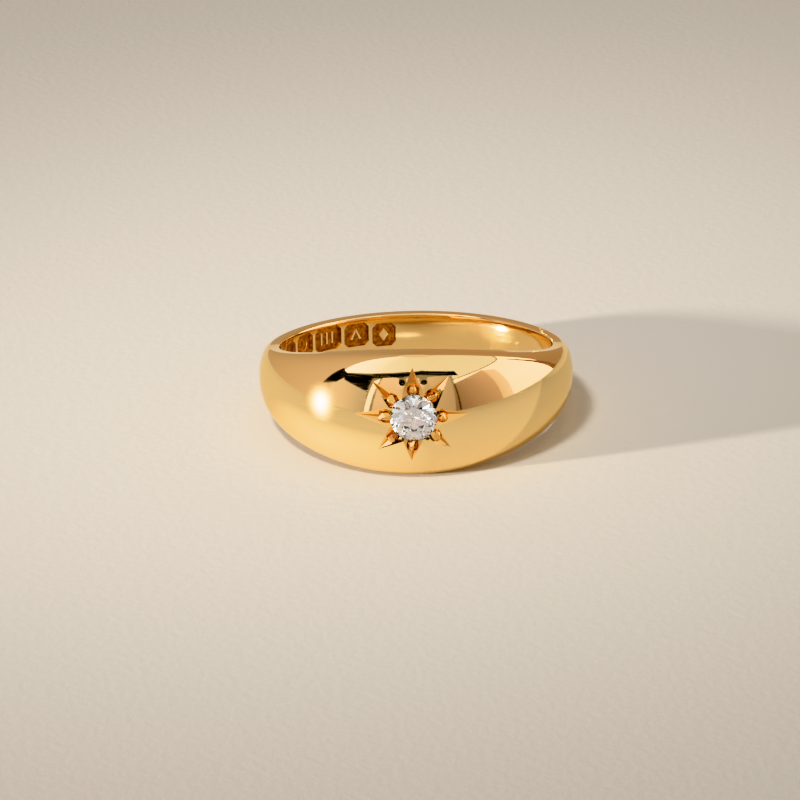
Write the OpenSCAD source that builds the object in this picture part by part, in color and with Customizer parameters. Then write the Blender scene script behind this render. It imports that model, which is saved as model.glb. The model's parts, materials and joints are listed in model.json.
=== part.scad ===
// Flush set gypsy ring lying on its side.
// A tapered D-section gold band swells into a domed head, and one old-cut
// diamond is sunk into the head inside an eight-ray star cut with a graver.
// The head faces -Y, the finger hole runs nearly along Z, and the ring leans
// back on the narrow end of its band, as it does on a table.

/* [Band] */
// Diameter of the finger hole
bore_d = 18; // [15:0.1:22]
// Width of the head along the finger
head_w = 8.2; // [7:0.1:10]
// Width of the back of the band along the finger
back_w = 2.8; // [2.4:0.1:3.6]
// Thickness of the head, from the finger hole to the top of the dome
crown_t = 2.1; // [2:0.05:2.8]
// Thickness in the middle of the back
back_t = 1.15; // [0.9:0.05:1.6]
// Thickness of the flat rim along both edges
rim_t = 0.6; // [0.4:0.05:0.8]
// Eased corner between the rim and the finger hole
rim_ease = 0.12; // [0.06:0.01:0.2]
// How fast the width falls away from the head
width_fall = 2.7; // [1.5:0.1:4]
// How fast the thickness falls away from the head
thickness_fall = 2.2; // [1.2:0.1:4]

/* [Diamond] */
// Diameter of the stone at its girdle
stone_d = 3.05; // [2.6:0.05:3.4]
// Width of the table across its corners
table_d = 1.65; // [1.3:0.05:1.9]
// Height of the crown above the girdle
crown_h = 0.42; // [0.3:0.01:0.5]
// Thickness of the girdle
girdle_t = 0.08; // [0.04:0.01:0.12]
// Depth of the pavilion below the girdle
pavilion_h = 1.25; // [1.05:0.01:1.35]
// Width of the small flat at the bottom of the stone
culet_d = 0.2; // [0.1:0.01:0.3]
// How far the table stands above the top of the dome
table_proud = 0.12; // [0.05:0.01:0.25]
// Number of main facets round the stone
main_facets = 8; // [6:1:12]

/* [Star setting] */
// Gap between the stone and the gold round it
stone_gap = 0.03; // [0.02:0.005:0.06]
// Diameter of the drilled window behind the stone
window_d = 1.2; // [0.8:0.05:1.6]
// Reach of the longest ray from the middle of the stone
star_reach = 3.75; // [3.2:0.05:4]
// Depth of a ray at the edge of the stone
ray_depth = 0.42; // [0.3:0.01:0.55]
// Width of the widest ray at the edge of the stone
ray_w = 1.45; // [1:0.05:1.6]
// Diameter of the grain raised at the root of each ray
grain_d = 0.62; // [0.5:0.01:0.68]
// How far a grain laps over the edge of the stone
grain_lap = 0.08; // [0.03:0.01:0.12]
// How deep the middle of a grain sits below the top of the dome
grain_drop = 0.26; // [0.2:0.01:0.3]

/* [Punch marks] */
// Height of a punched recess along the finger
mark_h = 1.6; // [1:0.05:1.8]
// Width of the widest punched recess
mark_w = 2.25; // [1.6:0.05:2.6]
// Cut corner of a recess
mark_cut = 0.3; // [0.1:0.05:0.4]
// Depth of a recess below the finger hole's wall
mark_depth = 0.15; // [0.08:0.01:0.25]
// Bare wall between two recesses
mark_gap = 0.3; // [0.2:0.05:0.5]
// Distance round the wall from the middle of the back to the first recess
mark_start = 1.55; // [0.5:0.05:3]

/* [Hidden] */

// Facets of the swept band, of the grains and of the exact round cuts
around_steps = 96;
profile_steps = 16;
grain_fn = 12;
round_fn = 180;

// The blank reaches this far into the finger hole before it is bored
core = 0.5;
// Cutting tools run this far past what they cut, and a ray's this far above
// the dome
past = 1;
ray_clear = 0.3;

bore_r = bore_d / 2;
crown_r = bore_r + crown_t;

// Rays in order round the stone from the right-hand side, cut by hand:
// direction, reach as a share of the longest, and width as a share of the
// widest
RAY_DIRECTION = 0;
RAY_REACH = 1;
RAY_WIDTH = 2;
rays = [
    [3, 0.95, 0.87],
    [50, 0.93, 0.97],
    [91, 0.87, 1],
    [138, 0.96, 0.8],
    [177, 1, 0.97],
    [223, 0.83, 0.93],
    [267, 0.78, 0.88],
    [319, 0.83, 0.8]
];

// Recesses in order from the middle of the back, struck by hand:
// width as a share of the widest, and rise above the middle of the wall
// as a share of the height
MARK_WIDTH = 0;
MARK_RISE = 1;
marks = [
    [0.71, 0],
    [0.8, 0.12],
    [1, 0.2],
    [0.78, 0.2],
    [0.8, 0.15]
];

// Section of the band at an angle from the head: half width, thickness, and
// radius of the domed outside at a latitude from -90 to 90
function headward(angle) = (1 + cos(angle)) / 2;
function half_width(angle) =
    back_w / 2 + (head_w - back_w) / 2 * pow(headward(angle), width_fall);
function thickness(angle) =
    back_t + (crown_t - back_t) * pow(headward(angle), thickness_fall);
function dome(angle) = thickness(angle) - rim_t;
function outside_r(angle, latitude) = bore_r + rim_t + dome(angle) * cos(latitude);

// Closed outline of one section, as radius and height, from the bottom corner
// inside the finger hole round the outside to the top one
function section(angle) = concat(
    [
        [bore_r - core, core + rim_ease - half_width(angle)],
        [bore_r + rim_ease, -half_width(angle)]
    ],
    [
        for (i = [0 : profile_steps])
            let (latitude = 180 * i / profile_steps - 90)
                [outside_r(angle, latitude), half_width(angle) * sin(latitude)]
    ],
    [
        [bore_r + rim_ease, half_width(angle)],
        [bore_r - core, half_width(angle) - rim_ease - core]
    ]
);

// Where the dome lies below its top, at a distance across and up from there
function dome_angle(across, r, turns) =
    turns == 0
        ? asin(across / r)
        : dome_angle(across, outside_r(asin(across / r), 0), turns - 1);
function dome_level(across, up) =
    let (angle = dome_angle(across, crown_r, 3))
    let (latitude = asin(up / half_width(angle)))
        outside_r(angle, latitude) * cos(angle) - crown_r;

// Heights in the stone, measured from the top of the dome
stone_r = stone_d / 2;
table_r = table_d / 2;
culet_r = culet_d / 2;
table_z = table_proud;
girdle_top_z = table_z - crown_h;
girdle_low_z = girdle_top_z - girdle_t;
culet_z = girdle_low_z - pavilion_h;

// Mains point at whole steps round the stone, the facets between at halves.
// The break points keep each kite flat.
half_step = 180 / main_facets;
star_share = 0.48;
lower_share = 0.62;
crown_slope = (table_z - girdle_top_z) / (stone_r - table_r);
pavilion_slope = pavilion_h / (stone_r - culet_r * cos(half_step));
break_r = table_r + star_share * (stone_r - table_r);
break_z = table_z - crown_slope * (break_r * cos(half_step) - table_r);
lower_r = stone_r * (1 - lower_share);
lower_z = girdle_low_z - pavilion_slope * (stone_r - lower_r * cos(half_step));

// The seat is open above the girdle; the room also clears the stone's crown
seat_r = stone_r + stone_gap;
seat_top = table_z + past;
root_r = seat_r - grain_d / 2;
grain_r = stone_r + grain_d / 2 - grain_lap;
neck_share = 0.85;

// Lean of the resting ring: its head stands on the corner inside the rim and
// its back on the half ellipse of the section
lean_reach = 2 * bore_r + rim_ease + rim_t;
back_dome = back_t - rim_t;
lean_a = pow(lean_reach, 2) - pow(back_dome, 2);
lean_b = head_w / 2 * lean_reach;
lean_c = (pow(head_w, 2) - pow(back_w, 2)) / 4;
lean = atan((lean_b - sqrt(pow(lean_b, 2) - lean_a * lean_c)) / lean_a);
lift = head_w / 2 * cos(lean) - (bore_r + rim_ease) * sin(lean);
front_reach = (bore_r + rim_t) * cos(lean)
    + norm([(crown_t - rim_t) * cos(lean), head_w / 2 * sin(lean)]);
back_reach = (bore_r + rim_t) * cos(lean)
    + norm([back_dome * cos(lean), back_w / 2 * sin(lean)]);

// A point of the band from its angle, radius and height
function on_ring(angle, r, z) = [r * sin(angle), -r * cos(angle), z];

// One ring of points per section, joined into a closed skin of triangles
module band_blank() {
    outlines = [
        for (i = [0 : around_steps - 1])
            let (angle = 360 * i / around_steps)
                [for (p = section(angle)) on_ring(angle, p[0], p[1])]
    ];
    points = [for (outline = outlines) for (p = outline) p];
    n = len(outlines[0]);
    faces = [
        for (i = [0 : around_steps - 1])
            for (j = [0 : n - 1])
                let (here = i * n, next = ((i + 1) % around_steps) * n, k = (j + 1) % n)
                    for (face = [[here + j, next + k, next + j], [here + j, here + k, next + k]])
                        face
    ];
    polyhedron(points = points, faces = faces, convexity = 8);
}

// Children are placed with Z straight out of the top of the dome
module on_crown() {
    translate([0, -crown_r, 0])
        rotate([90, 0, 0])
            children();
}

// One V-shaped cut: its valley starts deep at the stone and meets the dome at
// the tip of the ray, where its two walls close
module ray_cut(ray) {
    direction = ray[RAY_DIRECTION];
    reach = star_reach * ray[RAY_REACH];
    across = cos(direction);
    up = sin(direction);
    tip_z = dome_level(reach * across, reach * up);
    root_z = dome_level(root_r * across, root_r * up);
    grow = (reach - root_r) / (reach - seat_r);
    depth = ray_depth * grow;
    half_w = ray_w / 2 * ray[RAY_WIDTH] * grow;
    spread = half_w * (depth + ray_clear) / depth;
    rotate([0, 0, direction])
        polyhedron(
            points = [
                [root_r, 0, root_z - depth],
                [reach, 0, tip_z],
                [reach, 0, tip_z + ray_clear],
                [root_r, spread, root_z + ray_clear],
                [root_r, -spread, root_z + ray_clear]
            ],
            faces = [[0, 1, 3], [1, 2, 3], [0, 4, 1], [1, 4, 2], [2, 4, 3], [0, 3, 4]]
        );
}

// A bead of gold pushed up from the root of a ray and over the stone's edge,
// on a neck that fills the valley below it
module grain(ray) {
    rotate([0, 0, ray[RAY_DIRECTION]])
        translate([grain_r, 0, -grain_drop]) {
            sphere(d = grain_d, $fn = grain_fn);
            translate([0, 0, -ray_depth])
                cylinder(d = neck_share * grain_d, h = ray_depth, $fn = grain_fn);
        }
}

// Tapered hole for the stone, open upwards from the girdle
module seat() {
    rotate_extrude($fn = round_fn)
        polygon([
            [0, culet_z - stone_gap],
            [culet_r + stone_gap, culet_z - stone_gap],
            [seat_r, girdle_low_z],
            [seat_r, seat_top],
            [0, seat_top]
        ]);
}

// The space kept clear round the stone, crown too
module stone_room() {
    rotate_extrude($fn = round_fn)
        polygon([
            [0, culet_z - stone_gap],
            [culet_r + stone_gap, culet_z - stone_gap],
            [seat_r, girdle_low_z],
            [seat_r, girdle_top_z + stone_gap],
            [table_r + stone_gap, table_z + stone_gap],
            [table_r + stone_gap, seat_top],
            [0, seat_top]
        ]);
}

// Drilled through from the seat to the finger hole
module window() {
    translate([0, 0, -crown_t - past])
        cylinder(d = window_d, h = crown_t + past + girdle_low_z, $fn = round_fn);
}

// Distance round the wall from the middle of the back to the start of a recess
function mark_begin(i) =
    i == 0 ? mark_start : mark_begin(i - 1) + mark_w * marks[i - 1][MARK_WIDTH] + mark_gap;

// A cut-corner recess punched into the wall of the finger hole
module mark_cut(i) {
    width = mark_w * marks[i][MARK_WIDTH];
    arc = mark_begin(i) + width / 2;
    angle = arc / bore_r * 180 / PI;
    w = width / 2;
    h = mark_h / 2;
    floor_r = bore_r + mark_depth;
    rotate([0, 0, angle])
        translate([0, floor_r, mark_h * marks[i][MARK_RISE]])
            rotate([90, 0, 0])
                linear_extrude(height = past)
                    polygon([
                        [-w, mark_cut - h],
                        [mark_cut - w, -h],
                        [w - mark_cut, -h],
                        [w, mark_cut - h],
                        [w, h - mark_cut],
                        [w - mark_cut, h],
                        [mark_cut - w, h],
                        [-w, h - mark_cut]
                    ]);
}

// Lays the upright ring down on the table with its middle over the origin
module resting() {
    translate([0, (front_reach - back_reach) / 2, lift])
        rotate([-lean, 0, 0])
            children();
}

module gold_ring() {
    color("goldenrod")
        resting()
            difference() {
                union() {
                    difference() {
                        band_blank();
                        on_crown() {
                            for (ray = rays)
                                ray_cut(ray);
                            seat();
                        }
                    }
                    on_crown()
                        for (ray = rays)
                            grain(ray);
                }
                cylinder(d = bore_d, h = head_w + 2 * past, center = true, $fn = round_fn);
                on_crown() {
                    stone_room();
                    window();
                }
                for (i = [0 : len(marks) - 1])
                    mark_cut(i);
            }
}

// A ring of points of the stone, starting at a given turn
function stone_ring(count, r, z, turn) = [
    for (i = [0 : count - 1])
        let (angle = turn + 360 * i / count)
            [r * cos(angle), r * sin(angle), z]
];

module diamond() {
    rims = 2 * main_facets;
    points = concat(
        stone_ring(main_facets, table_r, table_z, 0),
        stone_ring(main_facets, break_r, break_z, half_step),
        stone_ring(rims, stone_r, girdle_top_z, 0),
        stone_ring(rims, stone_r, girdle_low_z, 0),
        stone_ring(main_facets, lower_r, lower_z, half_step),
        stone_ring(main_facets, culet_r, culet_z, half_step)
    );
    breaks = main_facets;
    top_rim = 2 * main_facets;
    low_rim = top_rim + rims;
    lowers = low_rim + rims;
    culets = lowers + main_facets;
    last = main_facets - 1;
    faces = concat(
        [[for (i = [last : -1 : 0]) i]],
        [[for (i = [0 : last]) culets + i]],
        [for (i = [0 : last]) [i, (i + 1) % main_facets, breaks + i]],
        [
            for (i = [0 : last])
                [i, breaks + i, top_rim + 2 * i, breaks + (i + last) % main_facets]
        ],
        [
            for (i = [0 : last])
                for (face = [
                    [breaks + i, top_rim + 2 * i + 1, top_rim + 2 * i],
                    [breaks + i, top_rim + (2 * i + 2) % rims, top_rim + 2 * i + 1]
                ])
                    face
        ],
        [
            for (i = [0 : rims - 1])
                let (k = (i + 1) % rims)
                    [top_rim + i, top_rim + k, low_rim + k, low_rim + i]
        ],
        [
            for (i = [0 : last])
                for (face = [
                    [lowers + i, low_rim + 2 * i, low_rim + 2 * i + 1],
                    [lowers + i, low_rim + 2 * i + 1, low_rim + (2 * i + 2) % rims]
                ])
                    face
        ],
        [
            for (i = [0 : last])
                let (before = (i + last) % main_facets)
                    [low_rim + 2 * i, lowers + i, culets + i, culets + before, lowers + before]
        ]
    );
    color("aliceblue")
        resting()
            on_crown()
                polyhedron(points = points, faces = faces, convexity = 4);
}

gold_ring();
diamond();
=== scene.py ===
import json
import logging
import math
import random
from dataclasses import dataclass, field
from enum import Enum
from typing import Any, NamedTuple, Sequence

import bmesh
import bpy
import numpy as np
from mathutils import Matrix, Vector


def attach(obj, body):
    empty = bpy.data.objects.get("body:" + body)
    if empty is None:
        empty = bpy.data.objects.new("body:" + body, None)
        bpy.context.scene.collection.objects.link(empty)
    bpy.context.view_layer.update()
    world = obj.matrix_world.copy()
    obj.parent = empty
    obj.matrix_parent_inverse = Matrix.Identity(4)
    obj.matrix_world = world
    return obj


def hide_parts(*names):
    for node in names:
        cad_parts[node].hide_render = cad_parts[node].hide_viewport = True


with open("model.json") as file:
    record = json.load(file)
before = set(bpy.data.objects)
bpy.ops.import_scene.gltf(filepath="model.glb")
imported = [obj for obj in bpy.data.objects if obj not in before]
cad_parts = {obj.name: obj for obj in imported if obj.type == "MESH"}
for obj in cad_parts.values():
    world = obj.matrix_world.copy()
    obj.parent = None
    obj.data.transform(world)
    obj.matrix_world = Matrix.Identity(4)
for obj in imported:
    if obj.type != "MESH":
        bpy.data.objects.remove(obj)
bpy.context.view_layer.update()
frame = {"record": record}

# Lengths are in mm until a mesh is finished, and MM turns them into metres
MM = 0.001
# Steps of the band round the finger, and of each stretch of its section
AROUND_STEPS = 420
BORE_STEPS = 28
EASE_STEPS = 5
RIM_STEPS = 2
DOME_STEPS = 84
# Steps along a ray, round a grain and round the stone's seat
RAY_STEPS = 18
GRAIN_STEPS = 14
SEAT_STEPS = 96
# How far a cutter runs past the metal, and a ray's cutter above the dome
PAST = 1.0
RAY_CLEAR = 0.3
# Edges and slivers thinner than this are dissolved after the carving
SLIVER = 1e-4
# Faces that meet at less than this angle share a smooth edge
SMOOTH_ANGLE = 16.0

log = logging.getLogger("ring")


def linear(hex_colour: str) -> tuple[float, float, float, float]:
    """Turn an sRGB hex colour into linear light.

    Args:
        hex_colour: six hex digits after a hash sign.

    Returns:
        Red, green and blue in linear light, and an alpha of 1.
    """
    channels = [int(hex_colour[i : i + 2], 16) / 255 for i in (1, 3, 5)]
    light = [c / 12.92 if c <= 0.04045 else ((c + 0.055) / 1.055) ** 2.4 for c in channels]
    return (light[0], light[1], light[2], 1.0)


def add_node(
    tree: bpy.types.NodeTree,
    kind: str,
    settings: dict[str, Any] | None = None,
    inputs: dict[str | int, Any] | None = None,
) -> bpy.types.Node:
    """Add one node with its settings, values and links.

    Args:
        tree: the node tree that takes the node.
        kind: Blender's name for the node.
        settings: the node's own properties by name.
        inputs: what goes into each socket: another node's socket, or a plain value.

    Returns:
        The new node.
    """
    node = tree.nodes.new(kind)
    for name, value in (settings or {}).items():
        setattr(node, name, value)
    for name, value in (inputs or {}).items():
        if isinstance(value, bpy.types.NodeSocket):
            tree.links.new(value, node.inputs[name])
        else:
            node.inputs[name].default_value = value
    return node


class Zone(Enum):
    """A part of the gold's surface with a finish of its own."""

    POLISHED = 0
    BORE = 1
    BRIGHT_CUT = 2
    GRAIN = 3
    SEAT = 4
    PUNCHED = 5
    MOTIF = 6

    def stand_in(self) -> bpy.types.Material:
        """Return the bare material that carries this zone through the cutting."""
        name = f"zone_{self.name.lower()}"
        return bpy.data.materials.get(name) or bpy.data.materials.new(name)


class Join(Enum):
    """How one solid is worked into another."""

    CUT = "DIFFERENCE"
    ADD = "UNION"


@dataclass(frozen=True)
class Solid:
    """A closed mesh in mm, kept as plain arrays.

    Args:
        name: what the solid is.
        points: its corners, one row each.
        faces: each face's corners in order, counter-clockwise from outside.
        zones: the finish of each face.
    """

    name: str
    points: np.ndarray
    faces: list[tuple[int, ...]]
    zones: list[Zone]

    def placed(self, matrix: Matrix) -> "Solid":
        """Move the solid.

        Args:
            matrix: where it goes.

        Returns:
            The same solid, moved.
        """
        turn = np.array(matrix.to_3x3())
        shift = np.array(matrix.to_translation())
        return Solid(self.name, self.points @ turn.T + shift, self.faces, self.zones)

    def to_object(self) -> bpy.types.Object:
        """Make a Blender object of it.

        Returns:
            The object, with the zones as material numbers.
        """
        mesh = bpy.data.meshes.new(self.name)
        mesh.from_pydata(self.points.tolist(), [], self.faces)
        mesh.polygons.foreach_set("material_index", [zone.value for zone in self.zones])
        for zone in Zone:
            mesh.materials.append(zone.stand_in())
        mesh.update()
        made = bpy.data.objects.new(self.name, mesh)
        bpy.context.scene.collection.objects.link(made)
        return made


def loft(name: str, rings: Sequence[np.ndarray], zone: Zone, closed: bool = False) -> Solid:
    """Skin a row of equal rings of points into a closed solid that faces outwards.

    Args:
        name: what the solid is.
        rings: rings of points in order, each with as many points as the last.
        zone: the finish of all its faces.
        closed: whether the last ring joins the first, and otherwise both ends are capped.

    Returns:
        The closed solid.
    """
    count = len(rings[0])
    total = len(rings)
    faces: list[tuple[int, ...]] = []
    for i in range(total if closed else total - 1):
        here = i * count
        there = (i + 1) % total * count
        for j in range(count):
            k = (j + 1) % count
            faces.append((here + j, here + k, there + k, there + j))
    sides = len(faces)
    if not closed:
        faces.append(tuple(range(count - 1, -1, -1)))
        faces.append(tuple((total - 1) * count + j for j in range(count)))
    points = np.concatenate(rings)
    middle = points.mean(0)
    a, b, c, d = (points[[face[k] for face in faces[:sides]]] - middle for k in range(4))
    volume = np.einsum("ij,ij->", np.cross(a, b), c) + np.einsum("ij,ij->", np.cross(a, c), d)
    if not closed:
        for cap in faces[sides:]:
            fan = points[list(cap)] - middle
            hub = np.tile(fan[0], (len(cap) - 2, 1))
            volume += np.einsum("ij,ij->", np.cross(fan[1:-1], fan[2:]), hub)
    if volume < 0:
        faces = [face[::-1] for face in faces]
    return Solid(name, points, faces, [zone] * len(faces))


class Swell(NamedTuple):
    """A soft lump that the graver pushed up beside a ray, in mm in the head's frame."""

    across: float
    up: float
    spread: float
    height: float


@dataclass(frozen=True)
class BandForm:
    """Sizes of the band in mm, and the formulas of its section.

    The ring's own frame has its axis on Z and the head at angle 0, on -Y.
    """

    bore_r: float
    head_w: float = 8.2
    back_w: float = 2.8
    crown_t: float = 2.1
    back_t: float = 1.15
    rim_t: float = 0.6
    rim_ease: float = 0.12
    # Wear has rounded the last stretch of the bore before its edge, by this angle in degrees
    worn_w: float = 0.75
    worn_lean: float = 12.0
    width_fall: float = 2.7
    thickness_fall: float = 2.2
    swells: tuple[Swell, ...] = (
        Swell(-0.7, 2.07, 0.2, 0.049),
        Swell(0.7, 2.11, 0.2, 0.05),
    )

    @property
    def rim_r(self) -> float:
        """Radius at which the domed outside meets the flat rim."""
        return self.bore_r + self.rim_t

    @property
    def crown_r(self) -> float:
        """Radius of the top of the dome."""
        return self.bore_r + self.crown_t

    def share(self, angle: np.ndarray, power: float) -> np.ndarray:
        """Fall from 1 at the head to 0 at the back, by the angle from the head."""
        return ((1 + np.cos(angle)) / 2) ** power

    def half_width(self, angle: np.ndarray) -> np.ndarray:
        """Half the band's width at an angle."""
        swell = (self.head_w - self.back_w) / 2
        return self.back_w / 2 + swell * self.share(angle, self.width_fall)

    def outside(self, angle: np.ndarray, latitude: np.ndarray) -> np.ndarray:
        """Radius of the domed outside.

        Args:
            angle: radians from the head.
            latitude: radians from the middle of the dome to its edge at a quarter turn.

        Returns:
            The radius with the small swells beside the star.
        """
        rise = self.back_t - self.rim_t
        rise = rise + (self.crown_t - self.back_t) * self.share(angle, self.thickness_fall)
        radius = self.rim_r + rise * np.cos(latitude)
        up = self.half_width(angle) * np.sin(latitude)
        across = self.crown_r * np.arctan2(np.sin(angle), np.cos(angle))
        for swell in self.swells:
            far = ((across - swell.across) ** 2 + (up - swell.up) ** 2) / swell.spread**2
            radius = radius + swell.height * np.exp(-far / 2)
        return radius

    def on_dome(self, angle: np.ndarray, latitude: np.ndarray) -> np.ndarray:
        """Find points of the domed outside.

        Args:
            angle: radians from the head.
            latitude: radians from the middle of the dome.

        Returns:
            One row for each point.
        """
        radius = self.outside(angle, latitude)
        up = self.half_width(angle) * np.sin(latitude)
        return np.stack([radius * np.sin(angle), -radius * np.cos(angle), up], -1)

    def level(self, across: float, up: float) -> float:
        """Find the height of the dome at a place of the head's frame.

        Args:
            across: mm to the side of the stone's axis.
            up: mm up the finger from it.

        Returns:
            The height in mm, 0 at the top of the dome.
        """
        radius = self.crown_r
        angle = 0.0
        for _ in range(4):
            angle = math.asin(across / radius)
            half = float(self.half_width(np.array(angle)))
            latitude = math.asin(max(-1.0, min(1.0, up / half)))
            radius = float(self.outside(np.array(angle), np.array(latitude)))
        return radius * math.cos(angle) - self.crown_r

    def section(self, angle: float) -> tuple[np.ndarray, list[Zone]]:
        """Closed outline of the band at one angle, as radius and height.

        Args:
            angle: radians from the head.

        Returns:
            The outline's points, and the zone of the face that starts at each.
        """
        half = float(self.half_width(np.array(angle)))
        ease = self.rim_ease
        flat = half - ease
        inner = self.bore_r + ease
        corner = np.linspace(0, math.pi / 2, EASE_STEPS, endpoint=False)
        latitude = np.linspace(-math.pi / 2, math.pi / 2, DOME_STEPS, endpoint=False)
        dome = self.outside(np.full_like(latitude, angle), latitude)
        up_bore = np.linspace(flat, -flat, BORE_STEPS, endpoint=False)
        out_rim = np.linspace(inner, self.rim_r, RIM_STEPS, endpoint=False)
        in_rim = np.linspace(self.rim_r, inner, RIM_STEPS, endpoint=False)
        stretches = (
            (np.full_like(up_bore, self.bore_r), up_bore, Zone.BORE),
            (inner - ease * np.cos(corner), -flat - ease * np.sin(corner), Zone.POLISHED),
            (out_rim, np.full_like(out_rim, -half), Zone.POLISHED),
            (dome, half * np.sin(latitude), Zone.POLISHED),
            (in_rim, np.full_like(in_rim, half), Zone.POLISHED),
            (inner - ease * np.sin(corner), flat + ease * np.cos(corner), Zone.POLISHED),
        )
        points = np.concatenate([np.stack([radius, height], 1) for radius, height, _ in stretches])
        zones = [zone for radius, _, zone in stretches for _ in radius]
        return points, zones

    def blank(self) -> Solid:
        """Sweep the section round the finger.

        Returns:
            The plain band in the ring's frame.
        """
        rings = []
        zones: list[Zone] = []
        for angle in np.linspace(0, 2 * math.pi, AROUND_STEPS, endpoint=False):
            outline, kinds = self.section(angle)
            radius, height = outline.T
            rings.append(np.stack([radius * math.sin(angle), -radius * math.cos(angle), height], 1))
            zones.extend(kinds)
        skin = loft("band_blank", rings, Zone.POLISHED, closed=True)
        return Solid(skin.name, skin.points, skin.faces, zones)

    def normals(self, points: np.ndarray) -> np.ndarray:
        """True outward direction of the band's surface at points on it.

        Args:
            points: rows of points in the ring's frame, in mm.

        Returns:
            One unit vector for each row.
        """
        x, y, z = points.T
        angle = np.arctan2(x, -y)
        radius = np.hypot(x, y)
        half = self.half_width(angle)
        latitude = np.arcsin(np.clip(z / half, -1, 1))
        step = 1e-4
        around = self.on_dome(angle + step, latitude) - self.on_dome(angle - step, latitude)
        over = self.on_dome(angle, latitude + step) - self.on_dome(angle, latitude - step)
        made = np.cross(around, over)
        # The flat rim, the eased corner inside it, and the bore
        flat = radius < self.rim_r
        share = np.clip((self.bore_r + self.rim_ease - radius) / self.rim_ease, 0, 1)
        near_edge = np.clip((np.abs(z) - half + self.rim_ease) / self.worn_w + 1, 0, 1)
        in_bore = np.abs(z) < half - self.rim_ease
        tilt = np.where(in_bore, 0, np.arccos(share))
        tilt = np.maximum(tilt, math.radians(self.worn_lean) * near_edge**2)
        # The rim rises and falls with the band's width as it goes round
        slope = (self.half_width(angle + step) - self.half_width(angle - step)) / (2 * step * radius)
        inward = np.stack([-np.sin(angle), np.cos(angle), 0 * angle], 1)
        beside = np.stack([-slope * np.cos(angle), -slope * np.sin(angle), np.sign(z)], 1)
        beside /= np.linalg.norm(beside, axis=1)[:, None]
        edge = np.cos(tilt)[:, None] * inward + np.sin(tilt)[:, None] * beside
        made[flat] = edge[flat]
        return made / np.linalg.norm(made, axis=1)[:, None]


class Ray(NamedTuple):
    """One hand-cut ray of the star.

    Direction is in degrees, reach and width are shares of the largest, and lean is how far
    its valley lies to the left of its middle, as a share of half its width.
    """

    direction: float
    reach: float
    width: float
    lean: float


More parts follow.
